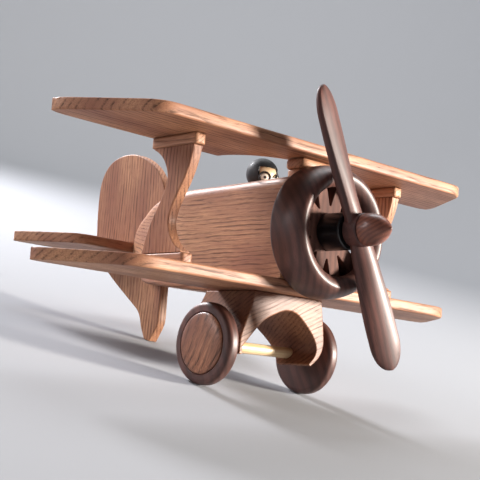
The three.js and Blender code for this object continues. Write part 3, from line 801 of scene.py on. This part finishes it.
def blade_section(turn, count):
    """From -1 at full lower pitch, through a plain ellipse at the shaft, to 1."""
    points = []
    for i in range(count):
        along = 12 * i / count
        angle = 2 * math.pi * i / count
        if turn > 0:
            shaped = section_point(along)
        else:
            shaped = section_point((18 - along) % 12)
            shaped.x = -shaped.x
        points.append(Vector((math.cos(angle), math.sin(angle))).lerp(shaped, abs(turn)))
    for _ in range(2):
        points = [at * 0.6 + (before + after) * 0.2 for before, at, after in corners(points)]
    return points


def make_propeller():
    rings = []
    for i in range(-BLADE_RINGS, BLADE_RINGS + 1):
        height = BLADE["tip"] * math.sin(i / BLADE_RINGS * math.pi / 2)
        chord, thick = blade_size(abs(height))
        turn = min(1.0, max(-1.0, height / BLADE["full_pitch"]))
        turn = 1.5 * turn - 0.5 * turn ** 3
        pitch = math.radians(BLADE["pitch"]) * turn
        ring = []
        for share in blade_section(turn, 96):
            across, deep = chord / 2 * share.x, thick / 2 * share.y
            ring.append(Vector((
                across * math.cos(pitch) - deep * math.sin(pitch),
                across * math.sin(pitch) + deep * math.cos(pitch),
                height,
            )))
        rings.append(ring)
    blades = skin(rings)
    parked = Matrix.Rotation(math.radians(-BLADE["lean"]), 4, "Y")
    blades.transform(Matrix.Translation(HUB) @ parked)
    blank = eased(rod(BOSS["radius"], BOSS["front"], BOSS["rear"]), BOSS["edge"])
    made = carved(blades, [turned(blank, "y", NOSE, 96)], "UNION")
    made = carved(made, [turned(rod(SHAFT_RADIUS + RUNNING, -BEYOND, 0), "y", NOSE, 48)])
    return piece("propeller", made, WALNUT_PROP, grain="z", tilt=BLADE["lean"], seed=21)


def make_spinner():
    low, high = level_box("spinner")
    base, tip, radius = high.y, low.y, high.x
    steps, fullness, edge = 36, 2.8, 0.9
    nose = [
        (radius * (1 - (i / steps) ** fullness), base + (tip - base) * i / steps)
        for i in range(1, steps)
    ]
    bore = SHAFT_RADIUS + RUNNING
    socket = level_box("propeller_shaft")[0].y - GAP
    profile = [(0, socket), (bore, socket), (bore, base), (radius - edge, base), *nose, (0, tip)]
    return piece("spinner", turned(profile, "y", NOSE, 96), CHERRY, grain="x", tilt=18, seed=22)


# ---------------------------------------------------------------- wheels and axle
WHEEL = {
    "inner": 52.7, "outer": 64.9, "recess": 57.9, "insert": 24.9, "edge": 4.5, "radius": 33.8,
    "lip": 0.9, "disc_edge": 0.4, "disc_dome": 3.9,
}


def wheel_profile():
    w = WHEEL
    middle, edge, pocket = w["radius"] - w["edge"], w["edge"], w["insert"] + GAP
    bore = AXLE_RADIUS + RUNNING
    return [
        (bore, w["inner"]),
        *arc(middle, w["inner"] + edge, edge, edge, -90, 0, 10),
        *arc(middle, w["outer"] - edge, edge, edge, 0, 90, 10),
        (pocket + w["lip"], w["outer"]),
        (pocket, w["outer"] - w["lip"]),
        (pocket, w["recess"]),
        (bore, w["recess"]),
    ]


def disc_profile():
    w = WHEEL
    bore, back = AXLE_RADIUS + RUNNING, w["recess"] + GAP
    socket = level_box("axle")[1].x + GAP
    dome = arc(0, w["outer"] - w["disc_edge"], w["insert"], w["disc_dome"], 0, 90, 32)
    return [
        (0, socket), (bore, socket), (bore, back), (w["insert"], back), *dome[:-1], (0, dome[-1][1]),
    ]


def turned_on_axle(profile, side):
    return turned([(radius, side * x) for radius, x in profile], "x", AXLE, 128)


def make_wheels():
    for side, name, seed in ((-1, "starboard", 23), (1, "port", 24)):
        wheel = turned_on_axle(wheel_profile(), side)
        piece("wheel_" + name, wheel, WALNUT, grain="z", tilt=30, tilt_axis="x", seed=seed)
        # The discs take the oak that is darkened as painted shade.
        disc = turned_on_axle(disc_profile(), side)
        tilt = 24 * side
        piece("wheel_disc_" + name, disc, OAK_DISC_SHADED, grain="z", tilt=tilt, tilt_axis="x", seed=seed + 2)


def make_axle():
    half = level_box("axle")[1].x
    dowel = eased(rod(AXLE_RADIUS, -half, half), 0.8)
    return piece("axle", turned(dowel, "x", AXLE, 64), BIRCH, grain="x", seed=27)


# ---------------------------------------------------------------- pilot
HEAD_Z = -6.0
HEAD = 12.2
HEAD_FOOT = -17.0
NOSE_BALL = 2.2
NOSE_DROP = 6.5
HELMET = {"radius": 14.0, "face_depth": 7.2, "brow": 4.5, "hem": 10.0}
TORSO = {"girth": 16.4, "shoulder": -30.0, "slope": 8.4, "neck": 6.3, "top": -20.4}
GOGGLES = {
    "splay": 34.0, "reach": 13.1, "drop": 5.0, "lens": 3.5, "bore": 3.8, "rim": 5.5,
    "bridge_half": 4.0, "bridge_front": 14.5, "bridge_deep": 1.3, "bridge_rise": 1.2,
}


def ball(radius, z, steps=40, segments=72):
    angles = [math.pi * i / steps for i in range(1, steps)]
    profile = [(radius * math.sin(a), z - radius * math.cos(a)) for a in angles]
    profile = [(0, z - radius), *profile, (0, z + radius)]
    return turned(profile, "z", (0, PILOT_Y, 0), segments)


def make_torso():
    t, foot = TORSO, PILOT_FLOOR + GAP
    profile = [
        (0, foot), (t["girth"], foot), (t["girth"], t["shoulder"]),
        *arc(t["slope"], t["shoulder"], 8, 9, 30, 90, 10), (t["neck"], t["top"]), (0, t["top"]),
    ]
    made = turned(profile, "z", (0, PILOT_Y, 0), 72)
    return piece("pilot_torso", made, OAK_FINE, grain="z", seed=28)


def make_head():
    head = carved(ball(HEAD, HEAD_Z), [block((-30, 50, -40), (30, 110, HEAD_FOOT))])
    nose = ball(NOSE_BALL, HEAD_Z - NOSE_DROP, 16, 32)
    nose.transform(Matrix.Translation((0, -math.sqrt(HEAD ** 2 - NOSE_DROP ** 2), 0)))
    return piece("pilot_head", carved(head, [nose], "UNION"), FACE, grain="z", seed=29)


def make_helmet():
    h, reach = HELMET, 30
    face = block(
        (-reach, PILOT_Y - reach, HEAD_Z - 20),
        (reach, PILOT_Y - h["face_depth"], HEAD_Z + h["brow"]),
    )
    below = block(
        (-reach, PILOT_Y - reach, HEAD_Z - reach), (reach, PILOT_Y + reach, HEAD_Z - h["hem"]),
    )
    made = carved(ball(h["radius"], HEAD_Z), [ball(HEAD + 2 * GAP, HEAD_Z), face, below])
    return piece("pilot_helmet", made, HELMET_BLACK, grain="z", seed=30)


def make_goggles():
    o = GOGGLES
    rims = []
    middle = HEAD_Z - o["drop"]
    for side, name in ((-1, "starboard"), (1, "port")):
        turn = Matrix.Rotation(math.radians(side * o["splay"]), 4, "Z")
        out = Matrix.Translation((0, -o["reach"], 0))
        at = Matrix.Translation((0, PILOT_Y, middle)) @ turn @ out
        front = arc(0, -0.6, 3.1, -1.1, 8, 82, 8)
        profile = [(0, 0.7), (o["lens"], 0.7), (o["lens"], -0.6), *front, (0, -1.7)]
        lens = turned(profile, "y", (0, 0, 0), 48)
        lens.transform(at)
        piece("goggle_lens_" + name, lens, LENS, grain="z", seed=0)
        rim = [(o["bore"], 0.6), (o["rim"], 0.6), (o["rim"], -1.2), (o["bore"], -1.2)]
        ring = turned(eased(rim, 0.6), "y", (0, 0, 0), 48)
        ring.transform(at)
        rims.append(ring)
    half, rise = o["bridge_half"], o["bridge_rise"]
    low, high = middle - rise, middle + rise
    bridge = [Vector(p) for p in ((-half, low), (half, low), (half, high), (-half, high))]
    rims.append(board(bridge, "y", PILOT_Y - o["bridge_front"], o["bridge_deep"], 0.5))
    return piece("goggles_frame", carved(rims[0], rims[1:], "UNION"), BLACK, grain="z", seed=33)


# ---------------------------------------------------------------- stage, camera and light
STAGE = {"floor": 2.6, "bend": 1.6, "top": 6.0, "under": 0.0002, "sides": 96}


def make_stage():
    """A round paper floor that curves up into a wall."""
    floor, bend, sides = STAGE["floor"], STAGE["bend"], STAGE["sides"]
    angles = [math.pi / 2 * i / 24 for i in range(1, 25)]
    curve = [(floor + bend * math.sin(a), bend - bend * math.cos(a)) for a in angles]
    profile = [(floor, 0.0), *curve, (floor + bend, STAGE["top"])]
    turns = [2 * math.pi * i / sides for i in range(sides)]
    bm = bmesh.new()
    middle = bm.verts.new((0, 0, -STAGE["under"]))
    columns = [
        [bm.verts.new((r * math.cos(a), r * math.sin(a), z - STAGE["under"])) for a in turns]
        for r, z in profile
    ]
    for i in range(sides):
        bm.faces.new((middle, columns[0][i], columns[0][(i + 1) % sides]))
    for one, two in zip(columns, columns[1:]):
        for i in range(sides):
            j = (i + 1) % sides
            bm.faces.new((one[i], two[i], two[j], one[j]))
    mesh = bpy.data.meshes.new("studio_sweep")
    bm.to_mesh(mesh)
    bm.free()
    mesh.polygons.foreach_set("use_smooth", [True] * len(mesh.polygons))
    sweep = bpy.data.objects.new("studio_sweep", mesh)
    bpy.context.scene.collection.objects.link(sweep)
    g = Graph("studio_paper")
    paper = g.finish(Base_Color=linear("#9a9ca0"), Roughness=0.9, Specular_IOR_Level=0.1)
    mesh.materials.append(paper)


def make_camera():
    """From low down off the starboard bow, rolled a little to the camera's left."""
    data = bpy.data.cameras.new("camera")
    data.lens = 89.2
    data.sensor_width = 36.0
    data.shift_y = -0.0042
    camera = bpy.data.objects.new("camera", data)
    right = Vector((0.721985, -0.64217, 0.25761)).normalized()
    up = Vector((-0.148205, 0.22015, 0.96415)).normalized()
    back = right.cross(up).normalized()
    turn = Matrix((right, up, back)).transposed().to_4x4()
    camera.matrix_world = Matrix.Translation((-0.7045, -0.79053, 0.18490)) @ turn
    data.clip_start = 0.01
    bpy.context.scene.collection.objects.link(camera)
    bpy.context.scene.camera = camera


def area_light(name, at, aim, size, power, colour):
    data = bpy.data.lights.new(name, "AREA")
    data.shape = "DISK"
    data.size = size
    data.energy = power
    data.color = colour
    lamp = bpy.data.objects.new(name, data)
    lamp.location = at
    lamp.rotation_mode = "QUATERNION"
    lamp.rotation_quaternion = (Vector(at) - Vector(aim)).to_track_quat("Z", "Y")
    lamp.visible_camera = False
    bpy.context.scene.collection.objects.link(lamp)


def make_lights():
    middle = (0, -0.02, 0.14)
    area_light("key", (1.55, -1.55, 0.66), middle, 0.4, 146, (1.0, 0.93, 0.84))
    area_light("fill", (-1.95, 0.95, 0.78), middle, 1.1, 28, (1.0, 0.94, 0.97))
    area_light("rim", (-0.12, 1.75, 0.95), middle, 0.5, 64, (0.97, 0.96, 1.0))
    area_light("backdrop", (1.7, 1.9, 3.6), (2.3, 2.6, 0.6), 3.0, 125, (0.97, 0.98, 1.0))
    world = bpy.data.worlds.new("studio")
    world.use_nodes = True
    background = world.node_tree.nodes["Background"]
    background.inputs["Color"].default_value = (0.82, 0.86, 0.95, 1)
    background.inputs["Strength"].default_value = 0.06
    bpy.context.scene.world = world
    bpy.context.scene.view_settings.view_transform = "Standard"
    bpy.context.scene.view_settings.look = "None"


make_boards()
make_landing_gear()
make_fuselage()
make_cowl()
make_engine()
make_crankcase()
make_ring("thrust_washer", SHAFT_RADIUS + GAP, STEEL, 18)
make_ring("shaft_collar", SHAFT_RADIUS + RUNNING, BIRCH, 19)
make_shaft()
make_propeller()
make_spinner()
make_wheels()
make_axle()
make_torso()
make_head()
make_helmet()
make_goggles()
make_stage()
make_camera()
make_lights()
